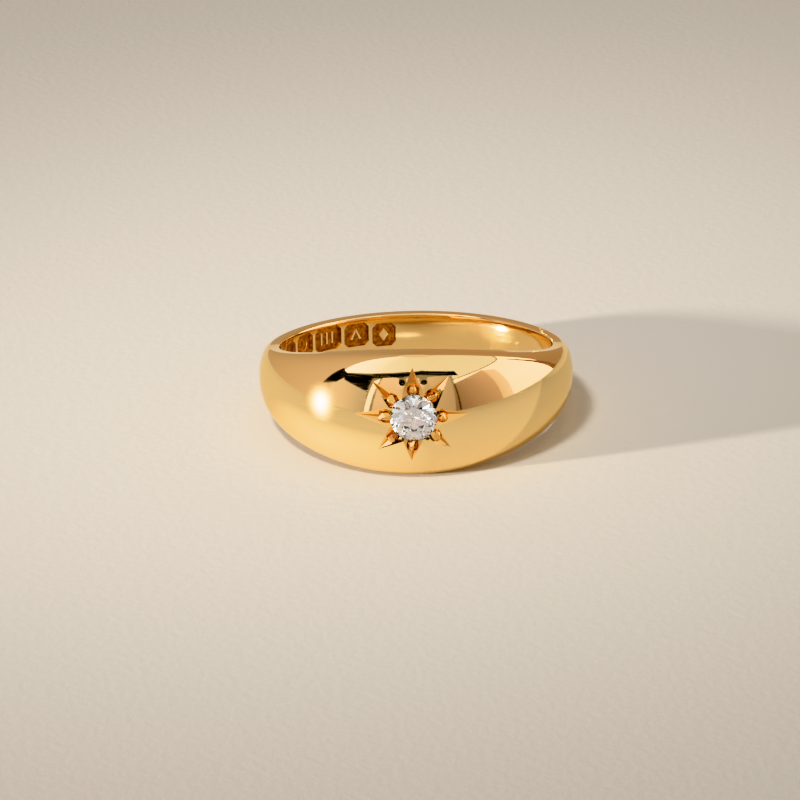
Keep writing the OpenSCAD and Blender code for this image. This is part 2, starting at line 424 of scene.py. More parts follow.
@dataclass(frozen=True)
class StarSetting:
    """The seat, the engraved star and the grains round the stone, in mm."""

    stone_d: float = 3.05
    table_d: float = 1.65
    crown_h: float = 0.42
    girdle_t: float = 0.08
    pavilion_h: float = 1.25
    culet_d: float = 0.2
    table_proud: float = 0.12
    stone_gap: float = 0.03
    lip: float = 0.05
    window_d: float = 1.2
    star_reach: float = 3.75
    ray_w: float = 1.45
    ray_depth: float = 0.42
    # Worn shoulder of each wall, as a share of half the ray's width, and its slope
    shoulder: float = 0.4
    shoulder_slope: float = 0.465
    grain_w: float = 0.67
    grain_l: float = 0.84
    grain_lap: float = 0.12
    grain_drop: float = 0.27
    grain_droop: float = -12.0
    # Share by which hand work varies a grain's length, width and place
    grain_spread: float = 0.16
    # Worn flats on each grain, and how far out they lie as a share of its half size
    grain_flats: int = 9
    flat_share: tuple[float, float] = (0.62, 0.88)
    top_flat: tuple[float, float, float] = (0.3, 0.0, 1.0)
    # Neck under each grain: its width and its two heights, as shares of the grain's half size
    neck_w: float = 0.75
    neck_heights: tuple[float, float] = (-2.4, -0.2)
    pit_w: float = 0.8
    pit_drop: float = 0.3
    pit_depth: float = 0.26
    rays: tuple[Ray, ...] = (
        Ray(3, 0.95, 0.87, 0.15),
        Ray(50, 0.93, 0.97, 0.12),
        Ray(91, 0.87, 1.0, -0.15),
        Ray(138, 0.96, 0.8, 0.1),
        Ray(177, 1.0, 0.97, 0.15),
        Ray(223, 0.83, 0.93, 0.0),
        Ray(267, 0.78, 0.88, 0.05),
        Ray(319, 0.83, 0.8, 0.1),
    )

    @property
    def seat_r(self) -> float:
        """Radius of the hole that the stone drops into."""
        return self.stone_d / 2 + self.stone_gap

    @property
    def girdle_top(self) -> float:
        """Height of the top of the stone's girdle, 0 at the top of the dome."""
        return self.table_proud - self.crown_h

    @property
    def girdle_low(self) -> float:
        """Height of the bottom of the stone's girdle."""
        return self.girdle_top - self.girdle_t

    @property
    def culet_low(self) -> float:
        """Height of the stone's lowest point."""
        return self.girdle_low - self.pavilion_h

    def ray_cut(self, band: BandForm, ray: Ray) -> Solid:
        """Shape that the graver takes out for one ray.

        Args:
            band: the band that it is cut in.
            ray: the ray's own values.

        Returns:
            A closed cutter in the head's frame.
        """
        turn = Matrix.Rotation(math.radians(ray.direction), 4, "Z")
        reach = self.star_reach * ray.reach
        rings = []
        for along in np.linspace(self.seat_r - self.grain_w / 2, reach, RAY_STEPS):
            left = 1 - (along - self.seat_r) / (reach - self.seat_r)
            half = self.ray_w / 2 * ray.width * left
            place = turn @ Vector((along, 0, 0))
            level = band.level(place.x, place.y)
            # The shoulders run straight on above the dome, so the borders follow its curve
            clear = RAY_CLEAR * min(1.0, 50 * left)
            spread = half + clear / self.shoulder_slope
            inner = half * (1 - self.shoulder)
            drop = half * self.shoulder * self.shoulder_slope
            profile = (
                (ray.lean * half, -self.ray_depth * left),
                (-inner, -drop),
                (-spread, clear),
                (spread, clear),
                (inner, -drop),
            )
            rings.append(np.array([turn @ Vector((along, side, level + up)) for side, up in profile]))
        return loft("ray_cut", rings, Zone.BRIGHT_CUT)

    def ball(self, name: str, zone: Zone) -> Solid:
        """Make a ball of radius 1, with its poles cut off just short.

        Args:
            name: what the ball is.
            zone: its finish.

        Returns:
            The ball round the origin.
        """
        circle = np.linspace(0, 2 * math.pi, 2 * GRAIN_STEPS, endpoint=False)
        rings = []
        for t in np.linspace(0, math.pi, GRAIN_STEPS)[1:-1]:
            side = math.sin(t)
            pole = np.full_like(circle, -math.cos(t))
            rings.append(np.stack([pole, side * np.cos(circle), side * np.sin(circle)], 1))
        return loft(name, rings, zone)

    def grain_middle(self) -> float:
        """Distance from the stone's axis to the middle of a grain."""
        return self.stone_d / 2 - self.grain_lap + self.grain_l / 2

    def grain_frame(self, ray: Ray) -> Matrix:
        """Place a ray's grain, each a little differently, as hand work does.

        Args:
            ray: the ray's own values.

        Returns:
            Its frame in the head's: X along the ray, scaled to the grain's half sizes.
        """
        chance = random.Random(int(ray.direction))
        long, wide, aside, yaw = (chance.uniform(-1, 1) * self.grain_spread for _ in range(4))
        turn = Matrix.Rotation(math.radians(ray.direction), 4, "Z")
        place = Matrix.Translation((self.grain_middle(), aside * self.grain_w / 2, -self.grain_drop))
        droop = Matrix.Rotation(math.radians(self.grain_droop), 4, "Y")
        skew = Matrix.Rotation(2 * yaw, 4, "Z")
        size = Matrix.Diagonal(
            (self.grain_l / 2 * (1 + long), self.grain_w / 2 * (1 + wide), self.grain_w / 2, 1)
        )
        return turn @ place @ skew @ droop @ size

    def pit(self, ray: Ray) -> Solid:
        """Make the hollow that the graver leaves round a grain.

        Args:
            ray: the ray's own values.

        Returns:
            Its cutter in the head's frame.
        """
        turn = Matrix.Rotation(math.radians(ray.direction), 4, "Z")
        place = Matrix.Translation((self.grain_middle(), 0, -self.pit_drop))
        size = Matrix.Diagonal((self.pit_w / 2, self.pit_w / 2, self.pit_depth, 1))
        return self.ball("pit", Zone.GRAIN).placed(turn @ place @ size)

    def grain(self, ray: Ray) -> list[Solid]:
        """Make the bead of gold at the root of a ray, and the neck that it stands on.

        Args:
            ray: the ray's own values.

        Returns:
            Both solids in the head's frame.
        """
        circle = np.linspace(0, 2 * math.pi, 2 * GRAIN_STEPS, endpoint=False)
        neck = [
            self.neck_w * np.stack([np.cos(circle), np.sin(circle), 0 * circle], 1) + (0, 0, height)
            for height in self.neck_heights
        ]
        place = self.grain_frame(ray)
        ball = self.ball("grain", Zone.GRAIN)
        # The graver's burnisher leaves a flat on top and others anywhere round it
        chance = np.random.default_rng(int(ray.direction))
        flats = chance.normal(size=(self.grain_flats, 3))
        flats[0] = self.top_flat
        flats[:, 2] = np.abs(flats[:, 2])
        points = ball.points.copy()
        for flat in flats / np.linalg.norm(flats, axis=1)[:, None]:
            points -= np.maximum(points @ flat - chance.uniform(*self.flat_share), 0)[:, None] * flat
        bead = Solid(ball.name, points, ball.faces, ball.zones)
        return [bead.placed(place), loft("grain_neck", neck, Zone.BRIGHT_CUT).placed(place)]

    def turned(self, name: str, profile: Sequence[tuple[float, float]], zone: Zone) -> Solid:
        """Turn a profile round the stone's axis.

        Args:
            name: what the solid is.
            profile: radius and height of each corner.
            zone: its finish.

        Returns:
            The turned solid in the head's frame.
        """
        circle = np.linspace(0, 2 * math.pi, SEAT_STEPS, endpoint=False)
        rings = [
            np.stack([r * np.cos(circle), r * np.sin(circle), np.full_like(circle, z)], 1)
            for r, z in profile
        ]
        return loft(name, rings, zone)

    def seat(self) -> Solid:
        """Make the tapered hole for the stone, with its lip rubbed in over the girdle.

        Returns:
            Its cutter in the head's frame.
        """
        return self.turned(
            "seat",
            (
                (self.culet_d / 2 + self.stone_gap, self.culet_low - self.stone_gap),
                (self.seat_r, self.girdle_low),
                (self.seat_r, self.girdle_top),
                (self.seat_r - self.lip, self.girdle_top + 2 * self.lip),
                (self.seat_r - self.lip, PAST),
            ),
            Zone.SEAT,
        )

    def stone_room(self) -> Solid:
        """Make the space kept clear round the stone, its crown too.

        Returns:
            Its cutter in the head's frame.
        """
        gap = self.stone_gap
        return self.turned(
            "stone_room",
            (
                (self.culet_d / 2 + gap, self.culet_low - gap),
                (self.seat_r, self.girdle_low),
                (self.seat_r, self.girdle_top + gap),
                (self.table_d / 2 + gap, self.table_proud + gap),
                (self.table_d / 2 + gap, PAST),
            ),
            Zone.GRAIN,
        )

    def window(self, band: BandForm) -> Solid:
        """Hole drilled from the seat to the finger hole."""
        radius = self.window_d / 2
        return self.turned("window", ((radius, -band.crown_t - PAST), (radius, self.girdle_low)), Zone.SEAT)


class Motif(Enum):
    """Plain raised figure inside a punched recess."""

    HOOP = "hoop"
    LOZENGE = "lozenge"
    BARS = "bars"
    CHEVRON = "chevron"
    BARE = "bare"


class Mark(NamedTuple):
    """One punched recess: its width and its rise as shares, and its figure."""

    width: float
    rise: float
    motif: Motif


@dataclass(frozen=True)
class PunchMarks:
    """The row of punched recesses in the finger hole, in mm."""

    height: float = 1.6
    width: float = 2.25
    cut: float = 0.3
    depth: float = 0.15
    gap: float = 0.3
    start: float = 1.55
    taper: float = 0.05
    relief: float = 0.08
    line_w: float = 0.16
    # How far each figure reaches across and up, as shares of the recess's half width and height
    lozenge: tuple[float, float] = (0.45, 0.62)
    bars: tuple[float, float] = (0.42, 0.55)
    chevron: tuple[float, float] = (0.5, 0.45)
    hoop: float = 0.5
    # The chevron's inner and outer tip, and its feet in widths of half a line
    chevron_tips: tuple[float, float] = (0.3, 0.62)
    chevron_foot: float = 2.6
    row: tuple[Mark, ...] = (
        Mark(0.71, 0.0, Motif.LOZENGE),
        Mark(0.8, 0.12, Motif.CHEVRON),
        Mark(1.0, 0.2, Motif.BARS),
        Mark(0.78, 0.2, Motif.HOOP),
        Mark(0.8, 0.15, Motif.BARE),
    )

    def octagon(self, w: float, h: float, cut: float) -> list[tuple[float, float]]:
        """Outline a rectangle with cut corners.

        Args:
            w: half its width.
            h: half its height.
            cut: how much each corner loses along both sides.

        Returns:
            The corners, counter-clockwise.
        """
        return [
            (-w, cut - h),
            (cut - w, -h),
            (w - cut, -h),
            (w, cut - h),
            (w, h - cut),
            (w - cut, h),
            (cut - w, h),
            (-w, h - cut),
        ]

    def place(self, band: BandForm, arc: float, rise: float) -> Matrix:
        """Find the frame on the floor of a recess.

        Args:
            band: the band that it is struck in.
            arc: how far round the finger hole it lies.
            rise: how far up the finger it lies.

        Returns:
            The frame: X along the wall, Y up the finger, Z to the axis.
        """
        turn = Matrix.Rotation(arc / band.bore_r, 4, "Z")
        shift = Matrix.Translation((0, band.bore_r + self.depth, rise))
        return turn @ shift @ Matrix.Rotation(math.pi / 2, 4, "X")

    def raised(self, outline: Sequence[tuple[float, float]]) -> Solid:
        """Stand a flat outline up from a recess's floor, a little narrower at its top.

        Args:
            outline: the figure's corners in order.

        Returns:
            The raised solid in the recess's frame.
        """
        base = np.array(outline)
        middle = base.mean(0)
        top = middle + (base - middle) * (1 - self.line_w / 2)
        rings = [np.column_stack([base, np.full(len(base), -self.depth)])]
        rings.append(np.column_stack([top, np.full(len(base), self.relief)]))
        return loft("figure", rings, Zone.MOTIF)

    def figure(self, motif: Motif, w: float, h: float) -> list[Solid]:
        """Raised figure of a recess.

        Args:
            motif: which figure.
            w: half the recess's width.
            h: half its height.

        Returns:
            The figure's solids, in the recess's frame.
        """
        line = self.line_w / 2
        if motif is Motif.LOZENGE:
            x, y = w * self.lozenge[0], h * self.lozenge[1]
            return [self.raised([(-x, 0), (0, -y), (x, 0), (0, y)])]
        if motif is Motif.BARS:
            apart, tall = w * self.bars[0], h * self.bars[1]
            corners = ((-line, -tall), (line, -tall), (line, tall), (-line, tall))
            return [self.raised([(mid + x, y) for x, y in corners]) for mid in (-apart, 0, apart)]
        if motif is Motif.CHEVRON:
            out, low = w * self.chevron[0], -h * self.chevron[1]
            heel = out - self.chevron_foot * line
            inner, outer = (h * tip for tip in self.chevron_tips)
            return [
                self.raised([(side * out, low), (side * heel, low), (0, inner), (0, outer)])
                for side in (-1, 1)
            ]
        if motif is Motif.HOOP:
            circle = np.linspace(0, 2 * math.pi, 2 * GRAIN_STEPS, endpoint=False)
            radius = h * self.hoop
            trace = ((radius - line, -self.depth), (radius + line, -self.depth), (radius, self.relief))
            rings = [np.array([(r * math.cos(t), r * math.sin(t), z) for r, z in trace]) for t in circle]
            return [loft("figure", rings, Zone.MOTIF, closed=True)]
        return []

    def struck(self, band: BandForm) -> list[tuple[Solid, Join]]:
        """Make the row of recesses, from the middle of the back on.

        Args:
            band: the band that they are struck in.

        Returns:
            The cutters and the figures in them, in the order of the work.
        """
        made: list[tuple[Solid, Join]] = []
        begin = self.start
        reach = self.depth + PAST
        for mark in self.row:
            width = self.width * mark.width
            place = self.place(band, begin + width / 2, self.height * mark.rise)
            rings = []
            for z, grow in ((0, -self.taper), (reach, reach * self.taper / self.depth - self.taper)):
                outline = self.octagon(width / 2 + grow, self.height / 2 + grow, self.cut)
                rings.append(np.array([(x, y, z) for x, y in outline]))
            made.append((loft("recess", rings, Zone.PUNCHED).placed(place), Join.CUT))
            for solid in self.figure(mark.motif, width / 2, self.height / 2):
                made.append((solid.placed(place), Join.ADD))
            begin += width + self.gap
        return made


class Workshop:
    """Cuts and joins solids into one mesh."""

    def __init__(self, blank: Solid) -> None:
        """Start from a blank solid."""
        self.body = blank.to_object()
        self.tools: list[bpy.types.Object] = []

    def work(self, solid: Solid, join: Join) -> None:
        """Cut a solid out of the body, or add it.

        Args:
            solid: the solid, in the body's frame.
            join: which of the two.
        """
        tool = solid.to_object()
        modifier = self.body.modifiers.new(solid.name, "BOOLEAN")
        modifier.operation = join.value
        modifier.solver = "MANIFOLD"
        modifier.object = tool
        self.tools.append(tool)

    def finish(self, name: str) -> bpy.types.Mesh:
        """Apply all the work and clear the bench.

        Args:
            name: the new mesh's name.

        Returns:
            The finished mesh, still in mm and in the ring's frame.
        """
        graph = bpy.context.evaluated_depsgraph_get()
        mesh = bpy.data.meshes.new_from_object(self.body.evaluated_get(graph))
        mesh.name = name
        self.clean(mesh)
        for used in [self.body, *self.tools]:
            data = used.data
            bpy.data.objects.remove(used)
            bpy.data.meshes.remove(data)
        return mesh

    def clean(self, mesh: bpy.types.Mesh) -> None:
        """Take the slivers and single loose faces out of a carved mesh.

        Args:
            mesh: the mesh, changed in place.
        """
        bench = bmesh.new()
        bench.from_mesh(mesh)
        # Many-cornered faces are split well here, so that splitting them later leaves no faces of no area
        many = [face for face in bench.faces if len(face.verts) > 4]
        bmesh.ops.triangulate(bench, faces=many, quad_method="BEAUTY", ngon_method="BEAUTY")
        bmesh.ops.dissolve_degenerate(bench, dist=SLIVER, edges=bench.edges)
        loose = [face for face in bench.faces if any(len(edge.link_faces) == 1 for edge in face.edges)]
        bmesh.ops.delete(bench, geom=loose, context="FACES")
        bench.to_mesh(mesh)
        bench.free()


@dataclass(frozen=True)
class Finish:
    """What every finish shares: its name, colour and the values that are the same all over."""

    name: str
    colour: str
    metallic: float
    roughness: float

    def begin(self) -> tuple[bpy.types.Material, bpy.types.NodeTree, bpy.types.Node]:
        """Start the material.

        Returns:
            The material, its node tree and its shader.
        """
        material = bpy.data.materials.new(self.name)
        material.use_nodes = True
        tree = material.node_tree
        shader = tree.nodes["Principled BSDF"]
        shader.inputs["Base Color"].default_value = linear(self.colour)
        shader.inputs["Metallic"].default_value = self.metallic
        shader.inputs["Roughness"].default_value = self.roughness
        return material, tree, shader

    def relief(
        self, tree: bpy.types.NodeTree, size: float, depth: float, detail: float
    ) -> tuple[bpy.types.NodeSocket, bpy.types.NodeSocket]:
        """Lay a fine, even relief all over the surface.

        Args:
            tree: the material's node tree.
            size: width of its bumps in mm.
            depth: their depth in mm.
            detail: how many finer layers lie in it.

        Returns:
            The pattern, and the normals that it gives.
        """
        body = add_node(tree, "ShaderNodeTexCoord")
        pattern = add_node(
            tree,
            "ShaderNodeTexNoise",
            None,
            {"Vector": body.outputs["Object"], "Scale": 1 / (size * MM), "Detail": detail},
        ).outputs["Fac"]
        bump = add_node(tree, "ShaderNodeBump", None, {"Distance": depth * MM, "Height": pattern})
        return pattern, bump.outputs["Normal"]


# 18 carat yellow gold as the eye sees it: gold warmed and paled by its silver and copper
GOLD = "#ffdea2"


# Gold keeps its own colour at low angles too, where a plain metal would turn white
GOLD_EDGE = "#fff5de"


@dataclass(frozen=True)
class PolishedGold(Finish):
    """18 carat yellow gold, cast, filed and buffed, then worn on a finger.

    Buffed gold is a warm mirror: the eye reads the room in it, dimmed only along hair-fine
    wear scratches.
    """

    name: str = "gold_polished"
    colour: str = GOLD
    metallic: float = 1.0
    roughness: float = 0.045
    worn_roughness: float = 0.2
    # Real wear scratches are 0.005 mm wide, so they are drawn ten times as wide to show
    scratch_w: float = 0.05
    scratch_l: float = 4.0
    scratch_depth: float = 0.0001
    # Buffing leaves the surface wavy over about this length
    wave: float = 1.8
    wave_depth: float = 0.0008
    # Each set of scratches has a direction in degrees and a seed
    sets: tuple[tuple[float, float], ...] = ((20.0, 0.0), (75.0, 17.0), (138.0, 41.0))
    # Noise levels between which a scratch starts and is at its deepest
    scratch_from: tuple[float, float] = (0.7, 0.84)

    def dress(self) -> bpy.types.Material:
        """Make the material.

        Returns:
            The finished material.
        """
        material, tree, shader = self.begin()
        shader.inputs["Specular Tint"].default_value = linear(GOLD_EDGE)
        place = add_node(tree, "ShaderNodeUVMap", {"uv_map": "surface_mm"})
        marks = None
        for turn, seed in self.sets:
            laid = add_node(
                tree,
                "ShaderNodeMapping",
                None,
                {
                    "Vector": place.outputs["UV"],
                    "Location": (seed, seed, 0),
                    "Rotation": (0, 0, math.radians(turn)),
                    "Scale": (1 / self.scratch_l, 1 / self.scratch_w, 1),
                },
            )
            streak = add_node(
                tree,
                "ShaderNodeTexNoise",
                {"noise_dimensions": "2D"},
                {"Vector": laid.outputs["Vector"], "Scale": 1.0, "Detail": 1.0, "Roughness": 0.4},
            )
            line = add_node(
                tree,
                "ShaderNodeMapRange",
                {"interpolation_type": "SMOOTHSTEP"},
                {
                    "Value": streak.outputs["Fac"],
                    "From Min": self.scratch_from[0],
                    "From Max": self.scratch_from[1],
                },
            )
            if marks is None:
                marks = line.outputs["Result"]
            else:
                marks = add_node(
                    tree, "ShaderNodeMath", {"operation": "MAXIMUM"}, {0: marks, 1: line.outputs["Result"]}
                ).outputs["Value"]
        dull = add_node(
            tree,
            "ShaderNodeMapRange",
            None,
            {"Value": marks, "To Min": self.roughness, "To Max": self.worn_roughness},
        )
        tree.links.new(dull.outputs["Result"], shader.inputs["Roughness"])
        _, wavy = self.relief(tree, self.wave, self.wave_depth, 1.0)
        scored = add_node(
            tree,
            "ShaderNodeBump",
            {"invert": True},
            {"Distance": self.scratch_depth * MM, "Height": marks, "Normal": wavy},
        )
        tree.links.new(scored.outputs["Normal"], shader.inputs["Normal"])
        return material


@dataclass(frozen=True)
class BrightCutGold(Finish):
    """The same gold where a polished graver sliced it.

    The cuts are flat and glassy, so each wall shows one even tone with a sharp border.
    """

    name: str = "gold_bright_cut"
    # Painted shade: the colour is deepened for the light that bounces between the walls of the cuts, and
    # polish left in them deepens it more
    colour: str = "#f0be78"
    metallic: float = 1.0
    roughness: float = 0.06
    # The graver chatters a little along its cut
    chatter: float = 0.3
    chatter_depth: float = 0.006

    def dress(self) -> bpy.types.Material:
        """Make the material.

        Returns:
            The finished material.
        """
        material, tree, shader = self.begin()
        _, chattered = self.relief(tree, self.chatter, self.chatter_depth, 2.0)
        tree.links.new(chattered, shader.inputs["Normal"])
        return material


@dataclass(frozen=True)
class RubbedGold(Finish):
    """The same gold inside the finger hole.

    It was never buffed as bright as the outside, and a finger has rubbed fine lines round
    it, so the eye sees a soft sheen with blurred reflections.
    """

    name: str = "gold_rubbed"
    # Skin oil left in the rubbing deepens the colour a little
    colour: str = "#ffda9a"
    metallic: float = 1.0
    roughness: float = 0.07
    worn_roughness: float = 0.16
    rub_w: float = 0.12
    rub_l: float = 3.0
    rub_depth: float = 0.0006
    # Noise levels at which the rubbing is at its brightest and dullest
    rub_from: tuple[float, float] = (0.3, 0.7)

    def dress(self) -> bpy.types.Material:
        """Make the material.

        Returns:
            The finished material.
        """
        material, tree, shader = self.begin()
        place = add_node(tree, "ShaderNodeUVMap", {"uv_map": "surface_mm"})
        laid = add_node(
            tree,
            "ShaderNodeMapping",
            None,
            {"Vector": place.outputs["UV"], "Scale": (1 / self.rub_l, 1 / self.rub_w, 1)},
        )
        streak = add_node(
            tree,
            "ShaderNodeTexNoise",
            {"noise_dimensions": "2D"},
            {"Vector": laid.outputs["Vector"], "Scale": 1.0, "Detail": 3.0},
        )
        dull = add_node(
            tree,
            "ShaderNodeMapRange",
            None,
            {
                "Value": streak.outputs["Fac"],
                "From Min": self.rub_from[0],
                "From Max": self.rub_from[1],
                "To Min": self.roughness,
                "To Max": self.worn_roughness,
            },
        )
        tree.links.new(dull.outputs["Result"], shader.inputs["Roughness"])
        bump = add_node(
            tree,
            "ShaderNodeBump",
            None,
            {"Distance": self.rub_depth * MM, "Height": streak.outputs["Fac"]},
        )
        tree.links.new(bump.outputs["Normal"], shader.inputs["Normal"])
        return material


@dataclass(frozen=True)
class PunchedGold(Finish):
    """The same gold struck by a steel punch and never polished since.

    Its grainy floor holds old soap and grime, so the eye sees a deep mottled orange.
    """

    name: str = "gold_punched"
    colour: str = "#d0882c"
    metallic: float = 1.0
    roughness: float = 0.3
    grimy: str = "#86420e"
    grain: float = 0.22
    grain_depth: float = 0.006
    # Noise levels between which grime gives way to bare gold
    grime_from: tuple[float, float] = (0.38, 0.68)

    def dress(self) -> bpy.types.Material:
        """Make the material.

        Returns:
            The finished material.
        """
        material, tree, shader = self.begin()
        sand, sandy = self.relief(tree, self.grain, self.grain_depth, 3.0)
        tone = add_node(
            tree,
            "ShaderNodeMapRange",
            None,
            {"Value": sand, "From Min": self.grime_from[0], "From Max": self.grime_from[1]},
        )
        mix = add_node(
            tree,
            "ShaderNodeMix",
            {"data_type": "RGBA"},
            {"Factor": tone.outputs["Result"], 6: linear(self.grimy), 7: linear(self.colour)},
        )
        tree.links.new(mix.outputs[2], shader.inputs["Base Color"])
        tree.links.new(sandy, shader.inputs["Normal"])
        return material


@dataclass(frozen=True)
class CutDiamond(Finish):
    """Near-colourless natural diamond, polished by hand on an iron wheel.

    Its flat facets bend and throw back light, so the eye sees pale flashes beside grey ones.
    """

    name: str = "diamond_polished"
    colour: str = "#f6faff"
    metallic: float = 0.0
    roughness: float = 0.0
    ior: float = 2.417

    def dress(self) -> bpy.types.Material:
        """Make the material.

        Returns:
            The finished material.
        """
        material, _, shader = self.begin()
        shader.inputs["Transmission Weight"].default_value = 1.0
        shader.inputs["IOR"].default_value = self.ior
        return material


@dataclass(frozen=True)
class BrutedGirdle(Finish):
    """The same diamond round its girdle, shaped by rubbing it on another diamond.

    The edge was left unpolished, so the eye sees a thin frosted line.
    """

    name: str = "diamond_bruted"
    colour: str = "#f4f0ea"
    metallic: float = 0.0
    roughness: float = 0.45
    ior: float = 2.417
    grit: float = 0.03
    grit_depth: float = 0.002

    def dress(self) -> bpy.types.Material:
        """Make the material.

        Returns:
            The finished material.
        """
        material, tree, shader = self.begin()
        shader.inputs["Transmission Weight"].default_value = 1.0
        shader.inputs["IOR"].default_value = self.ior
        _, frosted = self.relief(tree, self.grit, self.grit_depth, 2.0)
        tree.links.new(frosted, shader.inputs["Normal"])
        return material


@dataclass(frozen=True)
class FloorCard(Finish):
    """Uncoated cream card, pressed: fully matt, with a fine tooth that the eye barely sees."""

    name: str = "floor_card"
    colour: str = "#f0eeea"
    metallic: float = 0.0
    roughness: float = 0.8
    specular: float = 0.0
    tooth: float = 0.6
    tooth_depth: float = 0.015

    def dress(self) -> bpy.types.Material:
        """Make the material.

        Returns:
            The finished material.
        """
        material, tree, shader = self.begin()
        shader.inputs["Specular IOR Level"].default_value = self.specular
        _, toothed = self.relief(tree, self.tooth, self.tooth_depth, 3.0)
        tree.links.new(toothed, shader.inputs["Normal"])
        return material


@dataclass(frozen=True)
class RestPose:
    """How the ring's own frame lies in the shared frame, from the finger hole's mount."""

    middle: Vector
    axis: Vector

    @classmethod
    def from_record(cls, record: dict[str, Any]) -> "RestPose":
        """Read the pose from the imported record."""
        mount = record["mounts"][0]
        return cls(Vector(mount["pos_m"]), Vector(mount["axis"]))

    @property
    def matrix(self) -> Matrix:
        """Matrix from the ring's frame in mm to the shared frame in metres."""
        lean = Matrix.Rotation(-math.atan2(self.axis.y, self.axis.z), 4, "X")
        return Matrix.Translation(self.middle) @ lean @ Matrix.Diagonal((MM, MM, MM, 1))


def crown_frame(band: BandForm) -> Matrix:
    """Frame of the head in the ring's frame: Z straight out of the top of the dome."""
    return Matrix.Translation((0, -band.crown_r, 0)) @ Matrix.Rotation(math.pi / 2, 4, "X")


@dataclass(frozen=True)
class MeshTable:
    """A mesh's points, faces and corners as arrays."""

    points: np.ndarray
    flat: np.ndarray
    area: np.ndarray
    zones: np.ndarray
    centres: np.ndarray
    corner_point: np.ndarray
    corner_face: np.ndarray

    @classmethod
    def of(cls, mesh: bpy.types.Mesh) -> "MeshTable":
        """Read a mesh.

        Args:
            mesh: the mesh.

        Returns:
            Its table.
        """

        def read(rows: Any, name: str, width: int, kind: type) -> np.ndarray:
            """Read one named value of every row.

            Args:
                rows: the mesh's points, faces or corners.
                name: the value's name.
                width: how many numbers it has.
                kind: the type of its numbers.

            Returns:
                One row for each, or one number.
            """
            values = np.zeros(len(rows) * width, kind)
            rows.foreach_get(name, values)
            return values.reshape(-1, width) if width > 1 else values

        counts = read(mesh.polygons, "loop_total", 1, int)
        return cls(
            read(mesh.vertices, "co", 3, float),
            read(mesh.polygons, "normal", 3, float),
            read(mesh.polygons, "area", 1, float),
            read(mesh.polygons, "material_index", 1, int),
            read(mesh.polygons, "center", 3, float),
            read(mesh.loops, "vertex_index", 1, int),
            np.repeat(np.arange(len(counts)), counts),
        )


